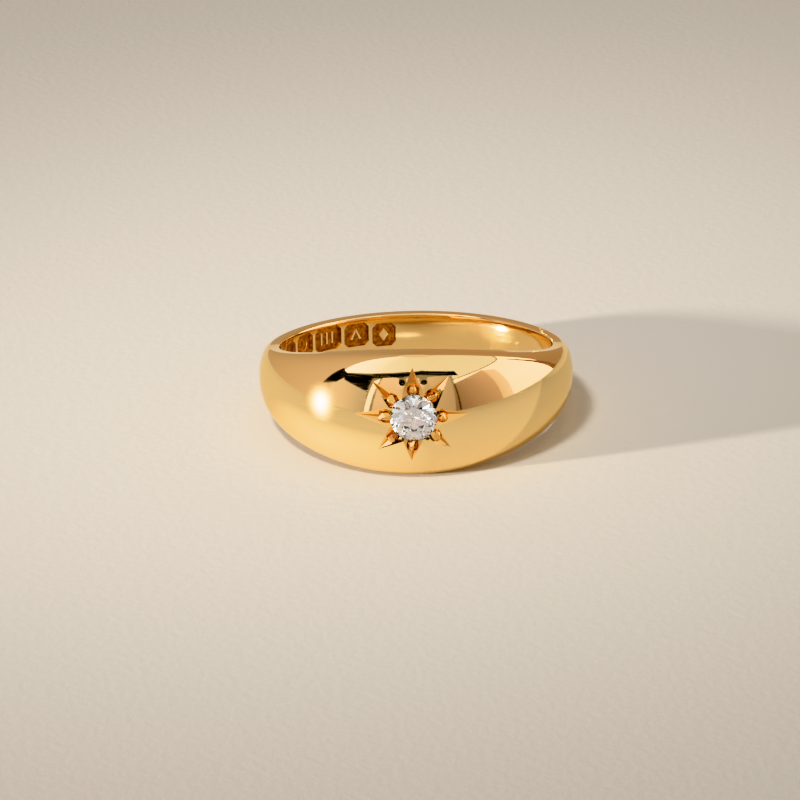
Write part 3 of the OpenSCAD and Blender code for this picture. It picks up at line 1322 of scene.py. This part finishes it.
@dataclass(frozen=True)
class GoldRing:
    """The gold: band, head, star, grains, window and punched recesses in one piece."""

    band: BandForm
    star: StarSetting = field(default_factory=StarSetting)
    marks: PunchMarks = field(default_factory=PunchMarks)
    # A corner takes a grain's round normal within this share of its size, if they agree so well
    bead_near: float = 0.06
    bead_match: float = 0.8

    def carve(self) -> bpy.types.Mesh:
        """Cut the whole ring from its blank, in the order of the real work.

        Returns:
            The ring in its own frame, in mm.
        """
        shop = Workshop(self.band.blank())
        crown = crown_frame(self.band)
        star = self.star
        for ray in star.rays:
            shop.work(star.ray_cut(self.band, ray).placed(crown), Join.CUT)
        for ray in star.rays:
            shop.work(star.pit(ray).placed(crown), Join.CUT)
        shop.work(star.seat().placed(crown), Join.CUT)
        for ray in star.rays:
            for solid in star.grain(ray):
                shop.work(solid.placed(crown), Join.ADD)
        shop.work(star.stone_room().placed(crown), Join.CUT)
        shop.work(star.window(self.band).placed(crown), Join.CUT)
        for solid, join in self.marks.struck(self.band):
            shop.work(solid, join)
        return shop.finish("gold_body")

    def bead_normals(self, points: np.ndarray, made: np.ndarray) -> np.ndarray:
        """Give corners that lie on a grain the grain's own round normal.

        Args:
            points: places of the corners.
            made: the normals of their faces.

        Returns:
            The normals, changed where a corner lies on a grain.
        """
        best = np.full(len(points), self.bead_near)
        result = made.copy()
        crown = crown_frame(self.band)
        for ray in self.star.rays:
            inverse = np.array((crown @ self.star.grain_frame(ray)).inverted())
            local = points @ inverse[:3, :3].T + inverse[:3, 3]
            off = np.abs(np.linalg.norm(local, axis=1) - 1)
            normal = local @ inverse[:3, :3]
            normal /= np.linalg.norm(normal, axis=1)[:, None]
            near = (off < best) & (np.einsum("ij,ij->i", normal, made) > self.bead_match)
            result[near] = normal[near]
            best[near] = off[near]
        return result

    def corner_normals(self, table: MeshTable) -> np.ndarray:
        """True normals of every face corner.

        Args:
            table: the carved ring in its own frame, in mm.

        Returns:
            One unit vector for each corner.
        """
        zone = table.zones[table.corner_face]
        place = table.points[table.corner_point]
        made = table.flat[table.corner_face].copy()
        swept = (zone == Zone.POLISHED.value) | (zone == Zone.BORE.value)
        made[swept] = self.band.normals(place[swept])
        smooth = math.cos(math.radians(SMOOTH_ANGLE))
        rest = np.flatnonzero(~swept)
        rest = rest[np.argsort(table.corner_point[rest], kind="stable")]
        starts = np.flatnonzero(np.diff(table.corner_point[rest], prepend=-1))
        for group in np.split(rest, starts[1:]):
            faces = table.corner_face[group]
            close = table.flat[faces] @ table.flat[faces].T > smooth
            close &= table.zones[faces][:, None] == table.zones[faces][None, :]
            total = (close * table.area[faces][None, :]) @ table.flat[faces]
            length = np.linalg.norm(total, axis=1)
            solid = length > 1e-9
            made[group[solid]] = total[solid] / length[solid][:, None]
        beads = zone == Zone.GRAIN.value
        made[beads] = self.bead_normals(place[beads], made[beads])
        return made

    def corner_spots(self, table: MeshTable) -> np.ndarray:
        """Unroll the surface for the wear patterns.

        Args:
            table: the carved ring in its own frame, in mm.

        Returns:
            The place of every corner in mm.
        """
        x, y, z = table.points[table.corner_point].T
        middle = np.arctan2(table.centres[:, 0], -table.centres[:, 1])[table.corner_face]
        angle = middle + (np.arctan2(x, -y) - middle + math.pi) % (2 * math.pi) - math.pi
        over = np.maximum(np.hypot(x, y) - self.band.bore_r, 0)
        return np.stack([angle * self.band.rim_r, z + np.sign(z) * (self.band.crown_t - over)], 1)

    def dress(self, mesh: bpy.types.Mesh) -> None:
        """Give each zone its finish.

        Args:
            mesh: the carved ring.
        """
        cut = BrightCutGold().dress()
        struck = PunchedGold().dress()
        rubbed = RubbedGold().dress()
        finishes = {
            Zone.POLISHED: PolishedGold().dress(),
            Zone.BORE: rubbed,
            Zone.BRIGHT_CUT: cut,
            Zone.GRAIN: cut,
            Zone.SEAT: cut,
            Zone.PUNCHED: struck,
            Zone.MOTIF: rubbed,
        }
        # Clearing the list would send every face to the first finish, so each is swapped
        for zone in Zone:
            mesh.materials[zone.value] = finishes[zone]
            bpy.data.materials.remove(zone.stand_in())

    def build(self, pose: RestPose) -> bpy.types.Object:
        """Carve the ring, lay it in place and dress it.

        Args:
            pose: how the ring lies.

        Returns:
            The finished piece.
        """
        mesh = self.carve()
        table = MeshTable.of(mesh)
        normals = self.corner_normals(table)
        layer = mesh.uv_layers.new(name="surface_mm")
        layer.data.foreach_set("uv", self.corner_spots(table).astype(np.float32).ravel())
        mesh.transform(pose.matrix)
        turn = np.array(pose.matrix.to_3x3()) / MM
        mesh.polygons.foreach_set("use_smooth", [True] * len(mesh.polygons))
        mesh.normals_split_custom_set((normals @ turn.T).tolist())
        self.dress(mesh)
        made = bpy.data.objects.new("gold_body", mesh)
        bpy.context.scene.collection.objects.link(made)
        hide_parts("gold_ring")
        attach(made, "root")
        return made


@dataclass(frozen=True)
class OldCutDiamond:
    """The stone: an old cut, faceted by hand, so that no two facets match quite."""

    star: StarSetting
    mains: int = 8
    star_share: float = 0.48
    lower_share: float = 0.62
    # Mean error of a facet's tilt in degrees, and how level a girdle face lies
    hand_error: float = 0.7
    girdle_level: float = 0.02
    seed: int = 5

    def spot(self, radius: float, steps: float, height: float) -> Vector:
        """Point at a radius and height, so many main facets round."""
        turn = 2 * math.pi * steps / self.mains
        return Vector((radius * math.cos(turn), radius * math.sin(turn), height))

    def facets(self) -> list[tuple[Vector, Vector, Vector]]:
        """Lay out every facet but the table and the culet.

        Returns:
            Three points of each facet's plane.
        """
        s = self.star
        girdle, table, culet = s.stone_d / 2, s.table_d / 2, s.culet_d / 2
        fold = math.pi / self.mains
        planes = []
        # The break points lie where neighbouring mains cross, so that each kite stays flat
        cross_r = table + (girdle - table) * self.star_share
        upper_r = cross_r / math.cos(fold)
        upper_z = s.table_proud - s.crown_h * self.star_share
        lower_in = culet + (girdle - culet) * (1 - self.lower_share)
        lower_r = lower_in / math.cos(fold)
        lower_z = s.girdle_low - s.pavilion_h * self.lower_share
        for k in range(self.mains):
            table_here = self.spot(table, k, s.table_proud)
            table_next = self.spot(table, k + 1, s.table_proud)
            high = self.spot(girdle, k, s.girdle_top)
            low = self.spot(girdle, k, s.girdle_low)
            tip = self.spot(culet, k, s.culet_low)
            aside = self.spot(1.0, k + self.mains / 4, 0)
            planes.append((table_here, high, table_here + aside))
            planes.append((tip, low, tip + aside))
            planes.append((table_here, table_next, self.spot(upper_r, k + 0.5, upper_z)))
            for end in (k, k + 1):
                for z, break_r, break_z in (
                    (s.girdle_top, upper_r, upper_z),
                    (s.girdle_low, lower_r, lower_z),
                ):
                    corner = self.spot(girdle, end, z)
                    between = self.spot(girdle, k + 0.5, z)
                    planes.append((self.spot(break_r, k + 0.5, break_z), corner, between))
        return planes

    def cut(self) -> bpy.types.Mesh:
        """Grind every facet on a round blank.

        Returns:
            The stone in the head's frame, in mm.
        """
        s = self.star
        chance = random.Random(self.seed)
        stone = bmesh.new()
        bmesh.ops.create_cone(
            stone,
            cap_ends=True,
            segments=SEAT_STEPS,
            radius1=s.stone_d / 2,
            radius2=s.stone_d / 2,
            depth=s.table_proud - s.culet_low,
            matrix=Matrix.Translation((0, 0, (s.table_proud + s.culet_low) / 2)),
        )
        heart = Vector((0, 0, s.girdle_low))
        for a, b, c in self.facets():
            middle = (a + b + c) / 3
            out = (b - a).cross(c - a).normalized()
            if out.dot(middle - heart) < 0:
                out.negate()
            tilt = Vector([chance.gauss(0, math.radians(self.hand_error) / 2) for _ in range(3)])
            out = (out + tilt).normalized()
            everything = [*stone.verts, *stone.edges, *stone.faces]
            sliced = bmesh.ops.bisect_plane(
                stone, geom=everything, dist=1e-5, plane_co=(a + b) / 2, plane_no=out, clear_outer=True
            )
            rim = [e for e in sliced["geom_cut"] if isinstance(e, bmesh.types.BMEdge)]
            if len(rim) > 2:
                bmesh.ops.contextual_create(stone, geom=rim)
        bmesh.ops.dissolve_degenerate(stone, dist=1e-4, edges=stone.edges)
        bmesh.ops.recalc_face_normals(stone, faces=stone.faces)
        for face in stone.faces:
            face.material_index = int(abs(face.normal.z) < self.girdle_level)
        mesh = bpy.data.meshes.new("diamond_stone")
        stone.to_mesh(mesh)
        stone.free()
        return mesh

    def build(self, pose: RestPose, band: BandForm) -> bpy.types.Object:
        """Cut the stone, set it in the head and dress it.

        Args:
            pose: how the ring lies.
            band: the band that holds it.

        Returns:
            The finished piece.
        """
        mesh = self.cut()
        mesh.transform(pose.matrix @ crown_frame(band))
        mesh.materials.append(CutDiamond().dress())
        mesh.materials.append(BrutedGirdle().dress())
        made = bpy.data.objects.new("diamond_stone", mesh)
        bpy.context.scene.collection.objects.link(made)
        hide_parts("diamond")
        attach(made, "root")
        return made


@dataclass(frozen=True)
class Viewpoint:
    """A long lens 300 mm from the middle of the ring. Angles in degrees, lengths in mm."""

    distance: float = 300.0
    lens: float = 203.9
    azimuth: float = 1.09
    elevation: float = 24.55
    roll: float = 0.886
    aim_left: float = 1.07
    aim_down: float = 1.97
    nearest: float = 10.0

    def build(self, middle: Vector) -> None:
        """Place the camera.

        Args:
            middle: the middle of the finger hole in metres.
        """
        turn, rise, roll = (math.radians(a) for a in (self.azimuth, self.elevation, self.roll))
        back = Vector((math.sin(turn) * math.cos(rise), -math.cos(turn) * math.cos(rise), math.sin(rise)))
        level = Vector((math.cos(turn), math.sin(turn), 0))
        above = back.cross(level)
        right = level * math.cos(roll) - above * math.sin(roll)
        up = above * math.cos(roll) + level * math.sin(roll)
        place = middle + back * self.distance * MM
        aim = middle - (right * self.aim_left + up * self.aim_down) * MM
        gaze = (place - aim).normalized()
        side = up.cross(gaze).normalized()
        stand = gaze.cross(side)
        data = bpy.data.cameras.new("camera")
        data.lens = self.lens
        data.clip_start = self.nearest * MM
        made = bpy.data.objects.new("camera", data)
        turned = Matrix((side, stand, gaze)).transposed().to_4x4()
        made.matrix_world = Matrix.Translation(place) @ turned
        bpy.context.scene.collection.objects.link(made)
        bpy.context.scene.camera = made


class Card(NamedTuple):
    """A softbox, a panel or a flag, placed as the head sees it.

    Corners go round from the lower left as azimuth and height in degrees. Azimuth 0 is the
    camera's side and grows to the right. Glow is the light at each corner, in that order.
    """

    name: str
    corners: tuple[tuple[float, float], ...]
    tint: str
    glow: tuple[float, float, float, float]
    layer: int = 0


# Black cloth flags, as near to no light as the photo's gold shows them
FLAG_TINT = "#100800"
FLAG_GLOW = (0.05, 0.05, 0.05, 0.05)


def upright(left: float, right: float, low: float, high: float) -> tuple[tuple[float, float], ...]:
    """Corners of a card with level and upright edges."""
    return ((left, low), (right, low), (right, high), (left, high))


class Spread(Enum):
    """How a glowing card sends out its light."""

    ALL_ROUND = "an opaque card, seen from both sides"
    UPWARDS = "a clear sheen, seen from one side"
    BEAM = "a clear glare, seen only from straight before it"


class Glare(NamedTuple):
    """Painted glint: a glowing card that stands in for the lamp's soft glare, as one spot of the gold
    mirrors it.

    Spot is the angle from the head in degrees, the radius and the height in mm in the
    ring's frame. The glare hangs reach mm from it, at an azimuth and height in degrees, and
    size is how far it spreads sideways and upwards in degrees.
    """

    name: str
    spot: tuple[float, float, float]
    azimuth: float
    height: float
    reach: float
    size: tuple[float, float]
    glow: float
    fade: float


class Sheen(NamedTuple):
    """Painted sheen: a glowing card just above the floor, mirrored by the gold above as a sheen of the
    floor towards the lamp. Lengths in mm.
    """

    name: str
    middle: tuple[float, float, float]
    turn: float
    size: tuple[float, float]
    glow: float


@dataclass(frozen=True)
class Studio:
    """Floor, softboxes, flags, lamp and room light. Lengths in mm, angles in degrees."""

    floor_r: float = 900.0
    near_floor_r: float = 53.0
    near_floor_x: float = 10.0
    floor_steps: int = 96
    card_reach: float = 280.0
    layer_gap: float = 10.0
    card_steps: int = 24
    key_azimuth: float = -73.0
    key_height: float = 9.0
    key_reach: float = 1000.0
    key_size: float = 60.0
    key_power: float = 13.0
    key_tint: str = "#fff6ea"
    pool_azimuth: float = -40.0
    pool_height: float = 62.0
    pool_reach: float = 350.0
    pool_size: float = 60.0
    pool_angle: float = 22.0
    pool_power: float = 2.12
    pool_shift: tuple[float, float] = (-4.0, 18.0)
    pool_tint: str = "#fffcf4"
    # Painted glints: glowing cards hung before chosen spots of the gold, in place of the lamp's own
    # reflection, which no gloss shows
    glares: tuple[Glare, ...] = (
        Glare("glare_head", (-34.5, 10.9, 0.69), -72.0, -9.0, 10.0, (30.0, 38.0), 160.0, 8.0),
        Glare("glare_bore", (141.7, 9.0, 1.62), -76.0, -15.0, 11.0, (5.0, 9.0), 800.0, 5.0),
        Glare("glare_far", (113.0, 9.0, 1.35), 178.0, 8.0, 4.0, (3.0, 5.0), 60.0, 3.0),
        Glare("glare_bar", (185.2, 9.0, -0.12), 8.0, -8.0, 3.0, (13.0, 3.0), 6.0, 3.0),
    )
    # A touch of green keeps the glare's edge yellow, where the view would turn it pink
    glare_tint: str = "#fcfbd6"
    # Painted sheen: a glowing card just above the floor, which the gold mirrors as the floor's sheen
    # towards the lamp
    sheen_tint: str = "#fff8d4"
    sheen: Sheen = Sheen("sheen", (-8.2, -9.2, 0.25), -36.0, (11.0, 6.5), 1.15)
    # Facing at which a beam starts to fade and has gone, 0 straight before the card
    beam_fade: tuple[float, float] = (0.03, 0.14)
    # Between the first surface that mirrors a card and the second
    first_mirror: float = 1.5
    room_tint: str = "#fff1e2"
    room_glow: float = 0.37
    cards: tuple[Card, ...] = (
        Card("ceiling", upright(-180, 180, 78, 90), "#fff2e2", (0.85, 0.85, 0.85, 0.85)),
        Card("wall_left", upright(-180, -60, -14, 80), "#ffe6d6", (0.48, 0.9, 0.66, 0.42)),
        Card("wall_back", upright(108, 180, -14, 80), "#ffdbc6", (0.36, 0.5, 0.45, 0.6)),
        Card(
            "window_left",
            ((-66, 25), (-30, 32), (-30, 80), (-66, 80)),
            "#ffffff",
            (5.5, 1.5, 1.1, 2.2),
            1,
        ),
        Card(
            "window_near",
            ((-30, 32), (-8, 36), (-8, 80), (-30, 80)),
            "#ffffff",
            (1.5, 1.08, 1.0, 1.1),
            1,
        ),
        Card(
            "window_middle",
            ((-8, 36), (37, 25), (37, 80), (-8, 80)),
            "#fffcf6",
            (1.1, 1.02, 0.98, 1.1),
            1,
        ),
        Card(
            "window_right",
            ((31, 22), (118, 45), (118, 80), (31, 80)),
            "#fffdf9",
            (1.05, 1.05, 0.95, 0.98),
            1,
        ),
        Card(
            "sheet_high",
            ((31, 10), (120, 10), (118, 45), (31, 22)),
            "#fffdf9",
            (1.9, 3.3, 2.5, 1.9),
            1,
        ),
        Card(
            "sheet_low",
            ((74, -12), (128, -12), (120, 10), (70, 10)),
            "#fffdf8",
            (2.1, 3.2, 3.3, 2.5),
            1,
        ),
        Card("haze", ((67, -12), (77, -12), (72, 25), (60, 27)), "#ffe8d4", (0.8, 1.4, 1.5, 1.0), 2),
        Card(
            "panel_right",
            ((29, -12), (68, -12), (61, 28), (30, 17)),
            "#ffdccb",
            (0.24, 0.6, 0.8, 0.4),
            3,
        ),
        Card(
            "crease",
            ((32.5, -8), (34, -8), (31.2, 17), (30.2, 17)),
            "#6b3a22",
            (0.4, 0.4, 0.4, 0.4),
            4,
        ),
        Card(
            "mullion",
            ((31, 21), (118, 43.5), (118, 45), (31, 22)),
            "#b98a6c",
            (0.5, 0.5, 0.5, 0.5),
            3,
        ),
        Card(
            "panel_middle",
            ((-34, -12), (29, -12), (29, 28), (-28, 26)),
            "#ffe8d8",
            (0.75, 0.52, 0.62, 1.25),
            2,
        ),
        Card(
            "strip_white",
            ((-39, -8), (-36, -8), (-30, 23), (-34, 20)),
            "#ffffff",
            (2.2, 2.2, 2.6, 2.6),
            3,
        ),
        Card("panel_left", upright(-68, -38, -12, 22), "#ffeee2", (1.15, 0.52, 0.7, 0.95), 2),
        Card("flag_right", ((4, 31), (37, 26), (36, 33), (4, 38)), FLAG_TINT, FLAG_GLOW, 4),
        Card("flag_middle", ((-38, 23), (4, 31), (4, 37), (-38, 29)), FLAG_TINT, FLAG_GLOW, 4),
        Card("flag_left", ((-60, 16), (-38, 9), (-36, 28), (-62, 24)), FLAG_TINT, FLAG_GLOW, 4),
        Card("flag_far_left", ((-76, 7), (-65, 12), (-58, 22), (-70, 31)), FLAG_TINT, FLAG_GLOW, 4),
        Card(
            "flag_edge",
            ((126, -12), (133, -12), (110, 34), (104, 34)),
            "#a87a64",
            (0.7, 0.7, 0.9, 0.9),
            2,
        ),
    )

    def build(self, pose: RestPose, aim: Vector, turn: float) -> None:
        """Set up the whole studio.

        Args:
            pose: how the ring lies.
            aim: the middle of the ring's head in metres.
            turn: the camera's azimuth in radians, which the cards follow.
        """
        self.lay_floor()
        for card in self.cards:
            self.hang(card, aim, turn)
        for glare in self.glares:
            self.hang_glare(glare, pose, turn)
        self.lay_sheen()
        self.light(aim, turn)
        self.light_pool(aim, turn)
        self.fill_room()

    def lay_floor(self) -> None:
        """Lay the floor as a near disc and a far ring of the same card.

        The gold doesn't mirror the far ring, so it mirrors the softboxes there, as over
        a table's edge.
        """
        material = FloorCard().dress()
        circle = np.linspace(0, 2 * math.pi, self.floor_steps, endpoint=False)
        rims = [
            np.stack([(r * np.cos(circle) + x) * MM, r * MM * np.sin(circle), np.zeros_like(circle)], 1)
            for r, x in ((self.near_floor_r, self.near_floor_x), (self.floor_r, 0.0))
        ]
        count = self.floor_steps
        ring_faces = [(i, count + i, count + (i + 1) % count, (i + 1) % count) for i in range(count)]
        for name, points, faces in (
            ("floor", rims[0], [tuple(range(count))]),
            ("floor_far", np.concatenate(rims), ring_faces),
        ):
            mesh = bpy.data.meshes.new(name)
            mesh.from_pydata(points.tolist(), [], faces)
            mesh.materials.append(material)
            made = bpy.data.objects.new(name, mesh)
            bpy.context.scene.collection.objects.link(made)
            made.visible_glossy = name == "floor"

    def direction(self, azimuth: float, height: float) -> Vector:
        """Unit vector from the head towards an azimuth and height in radians."""
        flat = math.cos(height)
        return Vector((math.sin(azimuth) * flat, -math.cos(azimuth) * flat, math.sin(height)))

    def hang_mesh(
        self, name: str, points: Sequence[Vector], glow: Sequence[float], tint: str, spread: Spread
    ) -> None:
        """Hang a square grid of points as a glowing card that only gold and stone can see.

        Args:
            name: the card's name.
            points: the grid's points, row by row from the lower left.
            glow: the light at each point.
            tint: the light's colour.
            spread: how it sends out its light.
        """
        wide = self.card_steps + 1
        faces = [
            (j * wide + i, j * wide + i + 1, (j + 1) * wide + i + 1, (j + 1) * wide + i)
            for j in range(self.card_steps)
            for i in range(self.card_steps)
        ]
        mesh = bpy.data.meshes.new(name)
        mesh.from_pydata([tuple(p) for p in points], [], faces)
        mesh.attributes.new("glow", "FLOAT", "POINT").data.foreach_set("value", list(glow))
        material = bpy.data.materials.new(name)
        material.use_nodes = True
        material.cycles.emission_sampling = "NONE"
        tree = material.node_tree
        tree.nodes.clear()
        level = add_node(tree, "ShaderNodeAttribute", {"attribute_name": "glow"}).outputs["Fac"]
        if spread is not Spread.ALL_ROUND:
            # One side of the card glows, and only for the first surface that mirrors it,
            # because more bounces in the hollows would turn it an unreal red
            side = add_node(tree, "ShaderNodeNewGeometry").outputs["Backfacing"]
            depth = add_node(tree, "ShaderNodeLightPath").outputs["Ray Depth"]
            first = add_node(
                tree, "ShaderNodeMath", {"operation": "LESS_THAN"}, {0: depth, 1: self.first_mirror}
            )
            shares = [side, first.outputs["Value"]]
            if spread is Spread.BEAM:
                # A honeycomb before the card keeps its light within 30 degrees of straight on
                aside = add_node(tree, "ShaderNodeLayerWeight", None, {"Blend": 0.5}).outputs["Facing"]
                beam = add_node(
                    tree,
                    "ShaderNodeMapRange",
                    None,
                    {
                        "Value": aside,
                        "From Min": self.beam_fade[0],
                        "From Max": self.beam_fade[1],
                        "To Min": 1.0,
                        "To Max": 0.0,
                    },
                )
                shares.append(beam.outputs["Result"])
            for share in shares:
                level = add_node(
                    tree, "ShaderNodeMath", {"operation": "MULTIPLY"}, {0: level, 1: share}
                ).outputs["Value"]
        shade = add_node(
            tree, "ShaderNodeEmission", None, {"Color": linear(tint), "Strength": level}
        ).outputs["Emission"]
        if spread is not Spread.ALL_ROUND:
            through = add_node(tree, "ShaderNodeBsdfTransparent")
            shade = add_node(
                tree, "ShaderNodeAddShader", None, {0: shade, 1: through.outputs["BSDF"]}
            ).outputs["Shader"]
        add_node(tree, "ShaderNodeOutputMaterial", None, {"Surface": shade})
        mesh.materials.append(material)
        made = bpy.data.objects.new(name, mesh)
        bpy.context.scene.collection.objects.link(made)
        made.visible_camera = False
        made.visible_diffuse = False
        made.visible_shadow = False

    def grid(self, low: float, downwards: bool = False) -> list[tuple[float, float]]:
        """List evenly spaced places of a card, row by row.

        Args:
            low: where both shares start; they end at 1.
            downwards: whether the rows run from the top down, which turns the card over.

        Returns:
            The share across and the share up of each place.
        """
        steps = np.linspace(low, 1, self.card_steps + 1)
        return [(u, v) for v in (steps[::-1] if downwards else steps) for u in steps]

    def hang(self, card: Card, aim: Vector, turn: float) -> None:
        """Hang one card on a ball round the head.

        Args:
            card: the card.
            aim: the middle of the ring's head in metres.
            turn: the camera's azimuth in radians.
        """
        reach = (self.card_reach - card.layer * self.layer_gap) * MM
        points = []
        glow = []
        low_left, low_right, high_right, high_left = (np.array(c) for c in card.corners)
        for u, v in self.grid(0):
            low = low_left + (low_right - low_left) * u
            high = high_left + (high_right - high_left) * u
            azimuth, height = np.radians(low + (high - low) * v)
            points.append(aim + reach * self.direction(azimuth + turn, height))
            below = card.glow[0] + (card.glow[1] - card.glow[0]) * u
            above = card.glow[3] + (card.glow[2] - card.glow[3]) * u
            glow.append(below + (above - below) * v)
        self.hang_mesh(card.name, points, glow, card.tint, Spread.ALL_ROUND)

    def hang_glare(self, glare: Glare, pose: RestPose, turn: float) -> None:
        """Hang a painted glint before one spot of the gold: a glowing card that stands in for the lamp's
        soft glare and fades out to nothing.

        Args:
            glare: the glare.
            pose: how the ring lies.
            turn: the camera's azimuth in radians.
        """
        around, radius, up = glare.spot
        around = math.radians(around)
        spot = pose.matrix @ Vector((radius * math.sin(around), -radius * math.cos(around), up))
        points = []
        glow = []
        for u, v in self.grid(-1):
            azimuth = math.radians(glare.azimuth + u * glare.size[0])
            height = math.radians(glare.height + v * glare.size[1])
            points.append(spot + glare.reach * MM * self.direction(azimuth + turn, height))
            glow.append(glare.glow * max(0.0, 1 - math.hypot(u, v)) ** glare.fade)
        self.hang_mesh(glare.name, points, glow, self.glare_tint, Spread.BEAM)

    def lay_sheen(self) -> None:
        """Lay the painted sheen, a glowing card just above the floor; it fades out to nothing."""
        sheen = self.sheen
        turned = Matrix.Rotation(math.radians(sheen.turn), 4, "Z")
        points = []
        glow = []
        for u, v in self.grid(-1, downwards=True):
            offset = turned @ Vector((u * sheen.size[0], v * sheen.size[1], 0))
            points.append((Vector(sheen.middle) + offset) * MM)
            glow.append(sheen.glow * max(0.0, 1 - math.hypot(u, v)))
        self.hang_mesh(sheen.name, points, glow, self.sheen_tint, Spread.UPWARDS)

    def hang_lamp(self, data: bpy.types.Light, aim: Vector, toward: Vector, reach: float) -> None:
        """Hang a lamp that shines at a place and that no gloss shows.

        Args:
            data: the lamp's own values.
            aim: the place in metres.
            toward: unit vector from the place to the lamp.
            reach: how far off the lamp hangs in mm.
        """
        lamp = bpy.data.objects.new(data.name, data)
        lamp.location = aim + toward * reach * MM
        lamp.rotation_mode = "QUATERNION"
        lamp.rotation_quaternion = toward.to_track_quat("Z", "Y")
        lamp.visible_glossy = False
        bpy.context.scene.collection.objects.link(lamp)

    def light(self, aim: Vector, turn: float) -> None:
        """Set the low lamp on the left.

        Args:
            aim: the middle of the ring's head in metres.
            turn: the camera's azimuth in radians.
        """
        data = bpy.data.lights.new("key", "AREA")
        data.shape = "DISK"
        data.size = self.key_size * MM
        data.energy = self.key_power
        data.color = linear(self.key_tint)[:3]
        toward = self.direction(math.radians(self.key_azimuth) + turn, math.radians(self.key_height))
        self.hang_lamp(data, aim, toward, self.key_reach)

    def light_pool(self, aim: Vector, turn: float) -> None:
        """Set a soft spotlight whose pool falls off towards the corners of the picture.

        Args:
            aim: the middle of the ring's head in metres.
            turn: the camera's azimuth in radians.
        """
        data = bpy.data.lights.new("pool", "SPOT")
        data.energy = self.pool_power
        data.color = linear(self.pool_tint)[:3]
        data.spot_size = math.radians(self.pool_angle)
        data.spot_blend = 1.0
        data.shadow_soft_size = self.pool_size / 2 * MM
        toward = self.direction(math.radians(self.pool_azimuth) + turn, math.radians(self.pool_height))
        middle = aim + Vector((*self.pool_shift, 0)) * MM
        self.hang_lamp(data, middle, toward, self.pool_reach)

    def fill_room(self) -> None:
        """Fill the rest of the room with even light."""
        world = bpy.data.worlds.new("room")
        world.use_nodes = True
        back = world.node_tree.nodes["Background"]
        back.inputs["Color"].default_value = linear(self.room_tint)
        back.inputs["Strength"].default_value = self.room_glow
        bpy.context.scene.world = world


def main() -> None:
    """Build the ring, the stone and the studio round them."""
    logging.basicConfig(level=logging.INFO, format="%(message)s")
    # This view keeps mid tones as they are and rolls highlights off to white
    bpy.context.scene.view_settings.view_transform = "Khronos PBR Neutral"
    record = frame["record"]
    pose = RestPose.from_record(record)
    band = BandForm(record["mounts"][0]["dims"]["r_mm"])
    ring = GoldRing(band)
    stone = OldCutDiamond(ring.star)
    for piece in (ring.build(pose), stone.build(pose, band)):
        log.info("%s: %d faces", piece.name, len(piece.data.polygons))
    view = Viewpoint()
    view.build(pose.middle)
    head = pose.matrix @ Vector((0, -band.crown_r, 0))
    Studio().build(pose, head, math.radians(view.azimuth))


if __name__ == "__main__":
    main()
